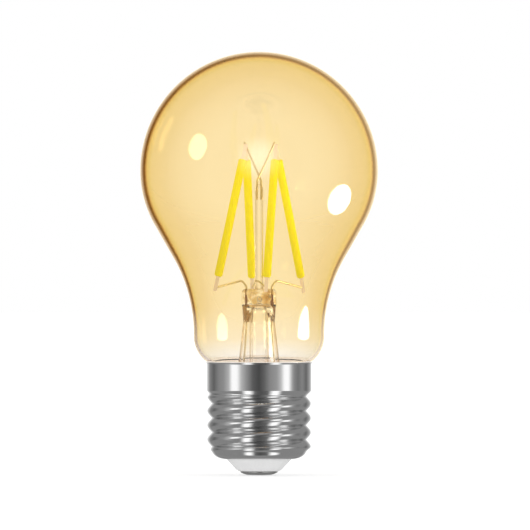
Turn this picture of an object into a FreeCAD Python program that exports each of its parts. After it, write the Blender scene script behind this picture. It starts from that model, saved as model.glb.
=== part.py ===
import FreeCAD, Part
import Sketcher
import os
from math import cos, pi, tan

# Amber A-shape filament lamp with an Edison screw cap and a small radio driver inside the cap.
# Millimetres. The origin is the bottom of the centre contact and +Z runs up the lamp's axis.

doc = FreeCAD.newDocument("filament_lamp")
dim = doc.addObject("Spreadsheet::Sheet", "dim")

driving_sizes = {
    # glass bulb: a 60 mm globe that runs down to a 33 mm neck
    "globe_radius": 30.0, "globe_centre": 76.8, "glass_wall": 0.75,
    "lower_globe_radius": 27.5, "slope_angle": 30.5,
    "waist_radius": 16.45, "waist_height": 35.5, "waist_sweep": 38.8,
    "shoulder_radius": 8.0, "shoulder_centre": 35.0, "neck_radius": 12.0, "seal_height": 22.6,
    # glass stem: flared tube, flattened press, exhaust tube and support rod
    "flare_wall": 0.45, "flare_curve": 3.6, "flare_radius": 5.4, "flare_rim": 1.0,
    "cavity_top": 38.6, "cavity_radius": 3.55, "funnel_top": 41.6, "stem_shoulder": 42.2,
    "shoulder_half_width": 4.2, "shoulder_half_depth": 3.4, "press_bottom": 43.2, "press_top": 47.1,
    "press_half_width": 4.35, "press_half_depth": 1.75,
    "exhaust_radius": 2.4, "exhaust_wall": 0.7, "exhaust_tip": 20.8, "outlet_radius": 0.6,
    "outlet_height": 44.4,
    "support_radius": 1.05, "support_top": 73.4, "support_taper": 1.9, "support_tip": 0.85,
    # wires held by the glass
    "wire_radius": 0.25, "seal_wire_radius": 0.3, "anchor_spread": 0.5, "anchor_stagger": 0.3,
    "anchor_root": 69.5, "anchor_tip_height": 84.0,
    "lead_spread": 3.2, "lead_joint": 45.6, "lead_shoulder": 49.2, "lead_reach": 4.3,
    "lead_bend": 0.9, "outer_spread": 3.9, "outer_turn": 28.0, "long_bend": 2.0, "link_bend": 0.8,
    "anchor_cross": 74.3,
    "sleeve_radius": 0.72, "sleeve_length": 4.0,
    # filaments: a strip of chips in a round silicone coat, with a metal tab at each end
    "coat_radius": 1.03, "coat_length": 30.6,
    "strip_width": 0.9, "strip_depth": 0.4, "chip_depth": 0.22, "chip_width": 0.55,
    "chip_length": 0.8, "chip_pitch": 1.06, "chip_count": 28,
    "tab_width": 0.9, "tab_depth": 0.2, "upper_tab": 4.1, "lower_tab": 3.8,
    # screw cap: thin rolled shell, 26.4 mm across its collar, with a 3.629 mm pitch thread
    "collar_radius": 13.2, "collar_bottom": 21.4, "cap_top": 28.4, "shell_wall": 0.3,
    "lip_radius": 13.45, "lip_height": 0.5, "root_radius": 11.95, "crest_radius": 13.1,
    "thread_pitch": 3.629, "thread_start": 7.15, "thread_height": 12.7, "crest_half": 0.35,
    "flank_half": 1.3, "thread_crown": 0.6, "shell_foot": 6.3, "shell_hole": 8.2,
    "shell_bottom": 4.1, "foot_curve": 4.0,
    # cap insulator and centre contact
    "insulator_foot": 5.3, "contact_seat": 1.0, "insulator_collar": 7.6, "insulator_top": 6.2,
    "contact_radius": 4.74, "contact_flat": 2.6, "dish_radius": 4.2, "dish_height": 0.42,
    "contact_edge": 0.08, "cement_height": 6.0,
    "contact_stem": 1.6, "contact_stem_top": 5.4, "contact_bore": 0.9,
    # driver in the cap
    "tube_radius": 11.2, "tube_wall": 0.35, "tube_bottom": 6.9, "tube_top": 20.6,
    "board_width": 19.0, "board_bottom": 7.4, "board_height": 12.4, "board_depth": 1.0,
    # driver parts on the front of the board: places are their axes or middles
    "front_row": 13.6, "electrolytic_across": -5.0, "electrolytic_radius": 2.6,
    "electrolytic_height": 6.8, "choke_across": 3.6, "choke_radius": 2.9, "choke_flange": 1.0,
    "choke_height": 5.6, "choke_neck": 1.1, "coil_radius": 2.6,
    "fuse_start": -8.0, "fuse_up": 8.6, "fuse_radius": 1.0, "fuse_length": 6.4, "fuse_rise": 0.1,
    "film_across": 4.2, "film_bottom": 8.1, "film_width": 6.2, "film_depth": 2.4, "film_height": 2.2,
    # driver parts on the back of the board
    "packages_across": -6.2, "package_width": 4.0, "package_depth": 1.4,
    "bridge_bottom": 14.2, "bridge_height": 4.4, "control_bottom": 8.6, "control_height": 4.6,
    "small_parts_bottom": 9.0, "resistors_across": -2.4, "resistor_step": 1.9,
    "resistor_width": 1.6, "resistor_depth": 0.5, "resistor_height": 0.8,
    "capacitors_across": 7.6, "capacitor_step": 2.6, "capacitor_width": 2.0,
    "capacitor_depth": 1.0, "capacitor_height": 1.2,
    # radio board
    "radio_across": 2.0, "radio_bottom": 8.0, "radio_width": 8.4, "radio_height": 11.6,
    "radio_depth": 0.8, "radio_gap": 3.0, "pin_bottom": 8.8, "pin_pitch": 1.27, "pin_width": 0.5,
    "can_bottom": 9.0, "can_side": 6.4, "can_depth": 1.4, "can_wall": 0.2,
    "die_across": 2.6, "die_bottom": 10.4, "die_side": 4.0, "die_depth": 0.8,
    "quartz_across": -0.3, "quartz_bottom": 10.6, "quartz_width": 1.2, "quartz_depth": 0.6,
    "quartz_height": 2.0,
    "trace_bottom": 15.9, "trace_step": 0.9, "trace_length": 6.4, "trace_width": 0.4,
    "trace_depth": 0.1, "trace_link": 0.5,
    # mains wires
    "live_radius": 0.4, "live_bend": 1.0, "live_offset": -1.4, "live_jog": 5.6, "live_rise": 6.4,
    "neutral_radius": 0.35, "neutral_bend": 0.9, "neutral_across": 8.6, "neutral_end": 12.1,
    "neutral_lift": 0.45, "neutral_slope": 0.07,
}
for row, (alias, number) in enumerate(driving_sizes.items(), start=1):
    dim.set("A%d" % row, alias.replace("_", " "))
    dim.set("B%d" % row, str(number))
    dim.setAlias("B%d" % row, alias)
doc.recompute()

nodes = []


def size(expression):
    """The number that an expression of sheet names comes to."""
    return float(dim.evalExpression(expression))


def on_sheet(expression):
    """The same expression as another object writes it: every sheet name gets its dim. prefix."""
    words = []
    word = ""
    for letter in expression + " ":
        if letter.isalnum() or letter in "_.":
            word += letter
            continue
        words.append("dim." + word if word in driving_sizes else word)
        words.append(letter)
        word = ""
    return "".join(words).strip()


def bind(piece, **sizes):
    """Bind properties to the sheet; Base_x stands for Placement.Base.x and so on."""
    for name, expression in sizes.items():
        if name.startswith("Base_"):
            name = "Placement.Base." + name[-1]
        piece.setExpression(name, on_sheet(expression))
    return piece


def keep(piece, label):
    """Give a finished sub-part its label and put it on the list that is written out."""
    piece.Label = label
    nodes.append(piece)
    return piece


# ---------------------------------------------------------------- sketches and turned bodies

def new_sketch(body, plane, name):
    sketch = body.newObject("Sketcher::SketchObject", name)
    for feature in body.Origin.OriginFeatures:
        if feature.Role == plane:
            sketch.AttachmentSupport = [(feature, "")]
    sketch.MapMode = "FlatFace"
    return sketch


def fix_corner(sketch, edge, end, across, up):
    """Hold one end of an edge at the place that two sheet expressions give."""
    for kind, axis, expression in (("DistanceX", -2, across), ("DistanceY", -1, up)):
        if size(expression) == 0:
            sketch.addConstraint(Sketcher.Constraint("PointOnObject", edge, end, axis))
        else:
            number = sketch.addConstraint(
                Sketcher.Constraint(kind, -1, 1, edge, end, size(expression)))
            sketch.setExpression("Constraints[%d]" % number, on_sheet(expression))


def outline(sketch, corners):
    """Closed outline through corners (across, up) or (across, up, radius, side of the centre).

    The radius and side belong to the arc from that corner to the next one."""
    places = [FreeCAD.Vector(size(corner[0]), size(corner[1]), 0) for corner in corners]
    ends = []
    for number, corner in enumerate(corners):
        here = places[number]
        there = places[(number + 1) % len(corners)]
        if len(corner) == 2:
            edge = sketch.addGeometry(Part.LineSegment(here, there), False)
            ends.append((edge, 1, 2))
            continue
        radius = size(corner[2])
        chord = there - here
        left = FreeCAD.Vector(-chord.y, chord.x, 0).normalize()
        turn = 1 if corner[3] == "left" else -1
        rise = (radius ** 2 - (chord.Length / 2) ** 2) ** 0.5
        centre = (here + there) * 0.5 + left * (turn * rise)
        circle = Part.Circle(centre, FreeCAD.Vector(0, 0, 1), radius)
        start, stop = (here, there) if turn > 0 else (there, here)
        arc = Part.ArcOfCircle(circle, circle.parameter(start), circle.parameter(stop))
        edge = sketch.addGeometry(arc, False)
        ends.append((edge, 1, 2) if turn > 0 else (edge, 2, 1))
    for number, (edge, first, last) in enumerate(ends):
        following, following_first, _ = ends[(number + 1) % len(ends)]
        sketch.addConstraint(
            Sketcher.Constraint("Coincident", edge, last, following, following_first))
        fix_corner(sketch, edge, first, corners[number][0], corners[number][1])
        if len(corners[number]) > 2:
            radius = corners[number][2]
            limit = sketch.addConstraint(Sketcher.Constraint("Radius", edge, size(radius)))
            sketch.setExpression("Constraints[%d]" % limit, on_sheet(radius))


def turned(name, corners):
    """A body turned about the lamp's axis."""
    body = doc.addObject("PartDesign::Body", name)
    sketch = new_sketch(body, "XZ_Plane", name + "_profile")
    outline(sketch, corners)
    turn = body.newObject("PartDesign::Revolution", name + "_turn")
    turn.Profile = sketch
    turn.ReferenceAxis = (sketch, ["V_Axis"])
    turn.Angle = 360
    return body


def tube(name, outer, inner, bottom, top):
    return turned(name, [(outer, bottom), (outer, top), (inner, top), (inner, bottom)])


# ---------------------------------------------------------------- simple solids

def block(name, across, deep, bottom, width, depth, height):
    """A box centred on (across, deep) that stands on the height called bottom."""
    box = doc.addObject("Part::Box", name)
    return bind(box, Length=width, Width=depth, Height=height, Base_x="%s - (%s) / 2" % (across, width),
                Base_y="%s - (%s) / 2" % (deep, depth), Base_z=bottom)


def cylinder(name, across, deep, up, radius, height, axis=(0, 0, 1)):
    """A cylinder from the point (across, deep, up) along an axis."""
    solid = doc.addObject("Part::Cylinder", name)
    turn = FreeCAD.Rotation(FreeCAD.Vector(0, 0, 1), FreeCAD.Vector(*axis))
    solid.Placement = FreeCAD.Placement(FreeCAD.Vector(0, 0, 0), turn)
    return bind(solid, Radius=radius, Height=height, Base_x=across, Base_y=deep, Base_z=up)


def fused(name, pieces):
    joined = doc.addObject("Part::MultiFuse", name)
    joined.Shapes = pieces
    return joined


def cut(name, base, *tools):
    """The base with the tools taken out of it; a tool that is a sub-part itself stays one."""
    for number, tool in enumerate(tools, start=1):
        less = doc.addObject("Part::Cut", "%s_cut_%d" % (name, number))
        less.Base = base
        less.Tool = tool
        base = less
    return base


# ---------------------------------------------------------------- wires

def wire(label, radius, bend, points):
    """A round wire along straight runs joined by arcs; points are triples of expressions."""
    corners = [FreeCAD.Vector(*[size(part) for part in point]) for point in points]
    radius = size(radius)
    edges = []
    start = corners[0]
    for before, corner, after in zip(corners, corners[1:], corners[2:]):
        back = (before - corner).normalize()
        ahead = (after - corner).normalize()
        half_turn = (pi - back.getAngle(ahead)) / 2
        reach = size(bend) * tan(half_turn)
        middle = (back + ahead).normalize()
        inset = size(bend) / cos(half_turn) - size(bend)
        arc = Part.Arc(corner + back * reach, corner + middle * inset, corner + ahead * reach)
        edges.append(Part.LineSegment(start, corner + back * reach).toShape())
        edges.append(arc.toShape())
        start = corner + ahead * reach
    edges.append(Part.LineSegment(start, corners[-1]).toShape())
    path = Part.Wire(edges)
    section = Part.Wire(Part.Circle(corners[0], corners[1] - corners[0], radius).toShape())
    piece = doc.addObject("Part::Feature", label)
    piece.Shape = path.makePipeShell([section], True, False)
    return keep(piece, label)


# ---------------------------------------------------------------- glass bulb

def slope_points(inset):
    """Where the lower globe meets the slope and the slope meets the waist, inset by a wall."""
    angle = "slope_angle * 1deg"
    globe = "(lower_globe_radius - %s)" % inset
    sweep = "(waist_sweep + %s)" % inset
    upper = ("globe_radius - lower_globe_radius + %s * cos(%s)" % (globe, angle),
             "globe_centre - %s * sin(%s)" % (globe, angle))
    lower = ("waist_radius + waist_sweep - %s * cos(%s)" % (sweep, angle),
             "waist_height + %s * sin(%s)" % (sweep, angle))
    return upper, lower


def shoulder_foot(inset):
    """Height at which the rounded shoulder has come in to the hidden neck."""
    reach = "(shoulder_radius - %s)" % inset
    offset = "(neck_radius - %s - waist_radius + shoulder_radius)" % inset
    return "shoulder_centre - sqrt(%s ^ 2 - %s ^ 2)" % (reach, offset)


def glass_envelope():
    outer_slope, outer_waist = slope_points("0")
    inner_slope, inner_waist = slope_points("glass_wall")
    corners = [
        ("neck_radius", "seal_height"),
        ("neck_radius", shoulder_foot("0"), "shoulder_radius", "left"),
        ("waist_radius", "shoulder_centre"),
        ("waist_radius", "waist_height", "waist_sweep", "right"),
        outer_waist,
        outer_slope + ("lower_globe_radius", "left"),
        ("globe_radius", "globe_centre", "globe_radius", "left"),
        ("0", "globe_centre + globe_radius"),
        ("0", "globe_centre + globe_radius - glass_wall", "globe_radius - glass_wall", "right"),
        ("globe_radius - glass_wall", "globe_centre", "lower_globe_radius - glass_wall", "right"),
        inner_slope,
        inner_waist + ("waist_sweep + glass_wall", "left"),
        ("waist_radius - glass_wall", "waist_height"),
        ("waist_radius - glass_wall", "shoulder_centre", "shoulder_radius - glass_wall", "right"),
        ("neck_radius - glass_wall", shoulder_foot("glass_wall")),
        ("neck_radius - glass_wall", "seal_height"),
    ]
    return keep(turned("glass_envelope", corners), "glass_envelope")


# ---------------------------------------------------------------- wires in the glass

def anchor_wires():
    """Two wires that cross above the support rod and carry the filaments' upper ends."""
    for side, tip, root, stagger in (("left", "-3.75", "anchor_spread", "anchor_stagger"),
                                     ("right", "3.95", "-anchor_spread", "-anchor_stagger")):
        wire("anchor_wire_" + side, "wire_radius", "long_bend",
             [(tip, "0", "anchor_tip_height"), (root, stagger, "anchor_cross"),
              (root, stagger, "anchor_root")])


def lead_wires():
    """Inner lead, seal wire in the press, and outer lead down to the driver, on each side."""
    for side, foot, sign in (("left", lead_feet[0], "-"), ("right", lead_feet[3], "")):
        spread = sign + "lead_spread"
        wire("inner_lead_" + side, "wire_radius", "lead_bend",
             [foot, (sign + "lead_reach", "0", "lead_shoulder"), (spread, "0", "press_top + 0.6"),
              (spread, "0", "lead_joint")])
        seal = cylinder("seal_wire_" + side, spread, "0", "cavity_top", "seal_wire_radius",
                        "lead_joint - cavity_top")
        keep(seal, "seal_wire_" + side)
        outer = sign + "outer_spread"
        wire("outer_lead_" + side, "wire_radius", "long_bend",
             [(spread, "0", "cavity_top"), (spread, "0", "cavity_top - 1"),
              (outer, "0", "outer_turn"), (outer, "0", "board_bottom + board_height")])


def link_wire():
    """The wire that joins the two inner filaments in series, held in the foot of the rod."""
    wire("link_wire", "wire_radius", "link_bend",
         [lead_feet[1], ("-0.55", "1.9", "press_top + 2.1"), ("0.5", "-1.7", "press_top + 1.5"),
          lead_feet[2]])


# ---------------------------------------------------------------- filaments

# Each filament runs straight from its upper weld to its lower weld: across, deep, up.
upper_welds = [(-3.3, -0.2, 83.5), (-3.3, 0.62, 83.5), (4.25, -0.2, 83.5), (4.1, 0.62, 83.5)]
lower_welds = [(-10.95, -7.6, 46.8), (-1.7, 9.6, 46.9), (1.7, -9.6, 46.5), (11.4, 6.2, 46.2)]
# Where the wires meet the inner faces of the lower tabs.
lead_feet = [("-10.45", "-7.2", "47.5"), ("-1.73", "8.95", "47.6"), ("1.75", "-9.4", "47.3"),
             ("10.8", "5.45", "47.4")]


def lay_along(piece, number, distance):
    """Stand a piece that was built along +Z on filament axis number, distance from its top."""
    top = FreeCAD.Vector(*upper_welds[number])
    foot = FreeCAD.Vector(*lower_welds[number])
    axis = (top - foot).normalize()
    piece.Placement = FreeCAD.Placement(top - axis * distance,
                                        FreeCAD.Rotation(FreeCAD.Vector(0, 0, 1), axis))


def padded(name, length, corners=None, radius=None):
    """A body with one pad along +Z, from an outline or a circle about its own axis."""
    body = doc.addObject("PartDesign::Body", name)
    sketch = new_sketch(body, "XY_Plane", name + "_section")
    if radius:
        circle = Part.Circle(FreeCAD.Vector(0, 0, 0), FreeCAD.Vector(0, 0, 1), size(radius))
        sketch.addGeometry(circle, False)
        sketch.addConstraint(Sketcher.Constraint("Coincident", 0, 3, -1, 1))
        limit = sketch.addConstraint(Sketcher.Constraint("Radius", 0, size(radius)))
        sketch.setExpression("Constraints[%d]" % limit, on_sheet(radius))
    else:
        outline(sketch, corners)
    pad = body.newObject("PartDesign::Pad", name + "_pad")
    pad.Profile = sketch
    bind(pad, Length=length)
    return body


def oblong(width, low, high):
    """Corners of a rectangle centred across, between two depths."""
    half = "(%s) / 2" % width
    return [("-" + half, low), (half, low), (half, high), ("-" + half, high)]


def filament(number):
    """Coat, strip, chips and two end tabs, built along +Z with the strip's back at -depth."""
    label = "_%d" % (number + 1)
    end = "(upper_tab + coat_length)"
    strip_low = "-strip_depth"
    chip_high = "chip_depth"

    coat = padded("filament_coat" + label, "coat_length", radius="coat_radius")
    channel = new_sketch(coat, "XY_Plane", "channel" + label)
    outline(channel, oblong("strip_width", strip_low, chip_high))
    slot = coat.newObject("PartDesign::Pocket", "slot" + label)
    slot.Profile = channel
    slot.Reversed = True
    bind(slot, Length="coat_length")
    keep(coat, "filament_coat" + label)
    lay_along(coat, number, size(end))

    strip = padded("filament_strip" + label, "coat_length", oblong("strip_width", strip_low, "0"))
    keep(strip, "filament_strip" + label)
    lay_along(strip, number, size(end))

    chips = doc.addObject("PartDesign::Body", "led_chips" + label)
    chips.AllowCompound = True
    sketch = new_sketch(chips, "XY_Plane", "chip_face" + label)
    outline(sketch, oblong("chip_width", "0", chip_high))
    chip = chips.newObject("PartDesign::Pad", "chip" + label)
    chip.Profile = sketch
    bind(chip, Length="chip_length")
    row = chips.newObject("PartDesign::LinearPattern", "chip_row" + label)
    row.Originals = [chip]
    row.Direction = (sketch, ["N_Axis"])
    bind(row, Length="chip_pitch * (chip_count - 1)", Occurrences="chip_count")
    chips.Tip = row
    keep(chips, "led_chips" + label)
    margin = "(coat_length - chip_pitch * (chip_count - 1) - chip_length) / 2"
    lay_along(chips, number, size(end + " - " + margin))

    tab_face = oblong("tab_width", "-strip_depth / 2 - tab_depth / 2", "-strip_depth / 2 + tab_depth / 2")
    upper = padded("upper_tab" + label, "upper_tab", tab_face)
    keep(upper, "upper_tab" + label)
    lay_along(upper, number, size("upper_tab"))
    lower = padded("lower_tab" + label, "lower_tab", tab_face)
    keep(lower, "lower_tab" + label)
    lay_along(lower, number, size(end + " + lower_tab"))


# ---------------------------------------------------------------- glass stem

def stem(embedded):
    """Flared tube whose top is pressed flat round the leads; embedded lists what it grips."""
    cone = turned("flare_cone", [
        ("neck_radius", "seal_height - flare_rim"),
        ("neck_radius", "seal_height"),
        ("flare_radius + flare_curve", "seal_height", "flare_curve", "right"),
        ("flare_radius", "seal_height + flare_curve"),
        ("cavity_radius + flare_wall", "cavity_top"),
        ("cavity_radius", "cavity_top"),
        ("flare_radius - flare_rim", "seal_height + flare_curve", "flare_curve + flare_rim", "left"),
        ("flare_radius + flare_curve", "seal_height - flare_rim"),
    ])
    rings = []
    for name, major, minor, height in (
            ("stem_round", "cavity_radius + flare_wall", "cavity_radius + flare_wall", "cavity_top"),
            ("stem_wide", "shoulder_half_width", "shoulder_half_depth", "stem_shoulder"),
            ("stem_flat", "press_half_width", "press_half_depth", "press_bottom"),
            ("stem_end", "press_half_width", "press_half_depth", "press_top")):
        ring = doc.addObject("Part::Ellipse", name)
        bind(ring, MajorRadius=major, MinorRadius=minor, Base_z=height)
        rings.append(ring)
    spans = []
    for name, first, last in zip(("stem_neck", "stem_step", "stem_press"), rings, rings[1:]):
        span = doc.addObject("Part::Loft", name)
        span.Sections = [first, last]
        span.Solid = True
        span.Ruled = True
        spans.append(span)
    body = fused("stem_glass", [cone] + spans)
    bore = "exhaust_radius - exhaust_wall"
    funnel = doc.addObject("Part::Cone", "stem_funnel")
    bind(funnel, Radius1="cavity_radius", Radius2="exhaust_radius",
         Height="funnel_top - cavity_top", Base_z="cavity_top")
    channel = cylinder("exhaust_channel", "0", "0", "funnel_top - 1", bore,
                       "stem_shoulder - funnel_top + 1")
    riser = cylinder("exhaust_riser", "0", "0", "stem_shoulder - 1", "outlet_radius",
                     "outlet_height - stem_shoulder + 1")
    outlet = cylinder("exhaust_outlet", "0", "0", "outlet_height", "outlet_radius",
                      "press_half_depth + 1", (0, -1, 0))
    return keep(cut("stem", body, funnel, channel, riser, outlet, *embedded), "glass_stem")


def exhaust_tube():
    """Pumping tube, melted shut at its lower end inside the cap."""
    bore = "(exhaust_radius - exhaust_wall)"
    shut = "exhaust_tip + exhaust_radius"
    return keep(turned("exhaust_tube", [
        ("exhaust_radius", "funnel_top"),
        (bore, "funnel_top"),
        (bore, shut, bore, "right"),
        ("0", shut + " - " + bore),
        ("0", "exhaust_tip", "exhaust_radius", "left"),
        ("exhaust_radius", shut),
    ]), "exhaust_tube")


def support_rod(embedded):
    rod = turned("rod_glass", [
        ("0", "press_top"),
        ("support_radius", "press_top"),
        ("support_radius", "support_top - support_taper"),
        ("support_tip", "support_top - 0.3"),
        ("support_tip - 0.3", "support_top"),
        ("0", "support_top"),
    ])
    return keep(cut("rod", rod, *embedded), "support_rod")


def lead_sleeve(seal_wire):
    """Short tan sleeve round the left seal wire, where it enters the press."""
    blank = cylinder("sleeve_blank", "-lead_spread", "0", "cavity_top", "sleeve_radius", "sleeve_length")
    return keep(cut("sleeve", blank, seal_wire), "lead_sleeve")


# ---------------------------------------------------------------- screw cap

def thread(body, name, kind, inset):
    """One helical rib of the rolled thread, or with an inset the hollow behind it."""
    root = "root_radius - shell_wall / 2"
    crest = "crest_radius"
    if inset:
        root = "root_radius - 2 * shell_wall"
        crest = "crest_radius - shell_wall"
    sketch = new_sketch(body, "XZ_Plane", name + "_section")
    outline(sketch, [
        (root, "thread_start - flank_half + " + inset),
        (crest, "thread_start - crest_half + " + inset, "thread_crown", "left"),
        (crest, "thread_start + crest_half - " + inset),
        (root, "thread_start + flank_half - " + inset),
    ])
    helix = body.newObject(kind, name)
    helix.Profile = sketch
    helix.ReferenceAxis = (sketch, ["V_Axis"])
    helix.Mode = "pitch-height-angle"
    bind(helix, Pitch="thread_pitch", Height="thread_height")
    return helix


def screw_shell():
    """Thin shell with a rolled right-hand thread: a ridge outside and its hollow inside."""
    bore = "root_radius - shell_wall"
    foot = "root_radius - foot_curve"
    body = turned("screw_shell", [
        ("shell_hole", "shell_bottom"),
        (foot + " + 0.6", "shell_bottom", "foot_curve", "left"),
        ("root_radius", "shell_foot"),
        ("root_radius", "collar_bottom - 1.2"),
        ("collar_radius", "collar_bottom"),
        ("collar_radius", "cap_top - lip_height"),
        ("lip_radius", "cap_top"),
        ("lip_radius - shell_wall", "cap_top"),
        ("collar_radius - shell_wall", "cap_top - lip_height"),
        ("collar_radius - shell_wall", "collar_bottom"),
        (bore, "collar_bottom - 1.2"),
        (bore, "shell_foot", "foot_curve - shell_wall", "right"),
        (foot + " + 0.6", "shell_bottom + shell_wall"),
        ("shell_hole", "shell_bottom + shell_wall"),
    ])
    thread(body, "thread_ridge", "PartDesign::AdditiveHelix", "0")
    thread(body, "thread_hollow", "PartDesign::SubtractiveHelix", "shell_wall")
    return keep(body, "screw_shell")


def cap_insulator():
    """Moulded cone that holds the centre contact and fills the hole in the shell's foot."""
    return keep(turned("cap_insulator", [
        ("contact_radius", "contact_seat"),
        ("insulator_foot", "contact_seat"),
        ("shell_hole", "shell_bottom"),
        ("shell_hole", "shell_bottom + shell_wall"),
        ("insulator_collar + 0.8", "shell_bottom + shell_wall"),
        ("insulator_collar", "insulator_top"),
        ("contact_stem", "insulator_top"),
        ("contact_stem", "contact_seat"),
    ]), "cap_insulator")


def centre_contact():
    """Domed disc with a hollow stem that the live wire is pressed into."""
    return keep(turned("centre_contact", [
        ("0", "0"),
        ("contact_flat", "0"),
        ("dish_radius", "dish_height"),
        ("contact_radius", "contact_seat - contact_edge"),
        ("contact_radius", "contact_seat"),
        ("contact_stem", "contact_seat"),
        ("contact_stem", "contact_stem_top"),
        ("contact_bore", "contact_stem_top"),
        ("contact_bore", "contact_seat"),
        ("0", "contact_seat"),
    ]), "centre_contact")


def capping_cement():
    """Ring of cement between the hidden glass neck and the cap's collar."""
    return keep(tube("capping_cement", "collar_radius - shell_wall", "neck_radius",
                     "seal_height - flare_rim", "seal_height - flare_rim + cement_height"),
                "capping_cement")


# ---------------------------------------------------------------- driver

def driver():
    """Mains driver on an upright board, with a radio board beside it, in an insulating tube."""
    keep(tube("insulating_tube", "tube_radius", "tube_radius - tube_wall", "tube_bottom", "tube_top"),
         "insulating_tube")
    front = "-board_depth / 2"
    back = "board_depth / 2"
    keep(block("driver_board", "0", "0", "board_bottom", "board_width", "board_depth", "board_height"),
         "driver_board")

    toward = (0, -1, 0)
    keep(cylinder("electrolytic", "electrolytic_across", front, "front_row", "electrolytic_radius",
                  "electrolytic_height", toward), "electrolytic_capacitor")
    inner = front + " - choke_flange"
    outer = front + " - choke_height + choke_flange"
    core = fused("choke", [
        cylinder("core_foot", "choke_across", front, "front_row", "choke_radius", "choke_flange", toward),
        cylinder("core_neck", "choke_across", front, "front_row", "choke_neck", "choke_height", toward),
        cylinder("core_head", "choke_across", outer, "front_row", "choke_radius", "choke_flange", toward)])
    keep(core, "choke_core")
    coil_length = "choke_height - 2 * choke_flange"
    coil = cylinder("coil_blank", "choke_across", inner, "front_row", "coil_radius", coil_length, toward)
    core_hole = cylinder("coil_hole", "choke_across", inner, "front_row", "choke_neck", coil_length, toward)
    keep(cut("coil", coil, core_hole), "choke_winding")
    keep(cylinder("fuse", "fuse_start", front + " - fuse_radius - fuse_rise", "fuse_up", "fuse_radius",
                  "fuse_length", (1, 0, 0)), "fusible_resistor")
    keep(block("film", "film_across", front + " - film_depth / 2", "film_bottom", "film_width",
               "film_depth", "film_height"), "film_capacitor")

    for name, label in (("bridge", "bridge_rectifier"), ("control", "driver_chip")):
        keep(block(name, "packages_across", back + " + package_depth / 2", name + "_bottom",
                   "package_width", "package_depth", name + "_height"), label)
    resistors = []
    for row in range(4):
        height = "small_parts_bottom + resistor_step * %d" % row
        resistors.append(block("resistor_%d" % row, "resistors_across", back + " + resistor_depth / 2",
                               height, "resistor_width", "resistor_depth", "resistor_height"))
    keep(compound("resistors", resistors), "chip_resistors")
    capacitors = []
    for row in range(3):
        height = "small_parts_bottom + capacitor_step * %d" % row
        capacitors.append(block("capacitor_%d" % row, "capacitors_across", back + " + capacitor_depth / 2",
                                height, "capacitor_width", "capacitor_depth", "capacitor_height"))
    keep(compound("capacitors", capacitors), "chip_capacitors")


def compound(name, pieces):
    group = doc.addObject("Part::Compound", name)
    group.Links = pieces
    return group


def radio():
    """Small radio board, parallel to the driver board and carried by header pins."""
    board_back = "board_depth / 2 + radio_gap"
    middle = board_back + " + radio_depth / 2"
    face = board_back + " + radio_depth"
    keep(block("radio_panel", "radio_across", middle, "radio_bottom", "radio_width", "radio_depth",
               "radio_height"), "radio_board")
    pins = []
    for place in range(5):
        across = "radio_across + pin_pitch * (%d)" % (place - 2)
        pins.append(block("pin_%d" % place, across, "board_depth / 2 + radio_gap / 2", "pin_bottom",
                          "pin_width", "radio_gap", "pin_width"))
    keep(compound("pins", pins), "header_pins")
    can = block("can", "radio_across", face + " + can_depth / 2", "can_bottom", "can_side", "can_depth",
                "can_side")
    can_space = block("can_space", "radio_across", face + " + (can_depth - can_wall) / 2",
                      "can_bottom + can_wall", "can_side - 2 * can_wall", "can_depth - can_wall",
                      "can_side - 2 * can_wall")
    keep(cut("shield", can, can_space), "radio_shield")
    keep(block("radio_die", "die_across", face + " + die_depth / 2", "die_bottom", "die_side",
               "die_depth", "die_side"), "radio_chip")
    keep(block("quartz", "quartz_across", face + " + quartz_depth / 2", "quartz_bottom",
               "quartz_width", "quartz_depth", "quartz_height"), "radio_crystal")
    trace = face + " + trace_depth / 2"
    strips = []
    for turn in range(4):
        strips.append(block("trace_%d" % turn, "radio_across", trace,
                            "trace_bottom + trace_step * %d" % turn, "trace_length", "trace_depth",
                            "trace_width"))
    for turn in range(3):
        side = "+" if turn % 2 == 0 else "-"
        edge = "radio_across %s (trace_length - trace_width) / 2" % side
        strips.append(block("link_%d" % turn, edge, trace,
                            "trace_bottom + trace_width + trace_step * %d" % turn, "trace_width",
                            "trace_depth", "trace_link"))
    keep(fused("antenna", strips), "radio_antenna")


def mains_wires():
    """Live wire from the contact's stem, and neutral wire from the shell, to the board."""
    wire("live_wire", "live_radius", "live_bend", [
        ("0", "0", "contact_seat + 0.6"), ("0", "0", "live_jog"), ("live_offset", "0", "live_rise"),
        ("live_offset", "0", "board_bottom")])
    wire("neutral_wire", "neutral_radius", "neutral_bend", [
        ("neutral_across", "0", "board_bottom + board_height"),
        ("neutral_across", "0", "tube_top + neutral_lift"),
        ("neutral_end", "0", "tube_top + neutral_lift + neutral_slope")])


# ---------------------------------------------------------------- the whole lamp

def build():
    glass_envelope()
    anchor_wires()
    for number in range(len(upper_welds)):
        filament(number)
    lead_wires()
    link_wire()

    made = {piece.Label: piece for piece in nodes}
    sleeve = lead_sleeve(made["seal_wire_left"])
    stem([made["inner_lead_left"], made["inner_lead_right"], made["seal_wire_left"],
          made["seal_wire_right"], sleeve])
    support_rod([made["anchor_wire_left"], made["anchor_wire_right"], made["link_wire"]])
    exhaust_tube()

    screw_shell()
    cap_insulator()
    centre_contact()
    capping_cement()
    driver()
    radio()
    mains_wires()


def check_and_write():
    doc.recompute()
    for piece in doc.Objects:
        if "Invalid" in piece.State or "Error" in piece.State:
            raise RuntimeError("%s did not compute: %s" % (piece.Name, piece.State))
    os.makedirs("parts", exist_ok=True)
    for piece in nodes:
        shape = piece.Shape
        if shape.isNull() or not shape.isValid() or not shape.Solids:
            raise RuntimeError("%s has no valid solid" % piece.Label)
        shape.exportStep("parts/%s.step" % piece.Label)
        print("%-24s %d solid(s) %9.2f mm3" % (piece.Label, len(shape.Solids), shape.Volume))


build()
check_and_write()
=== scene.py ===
import math

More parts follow.
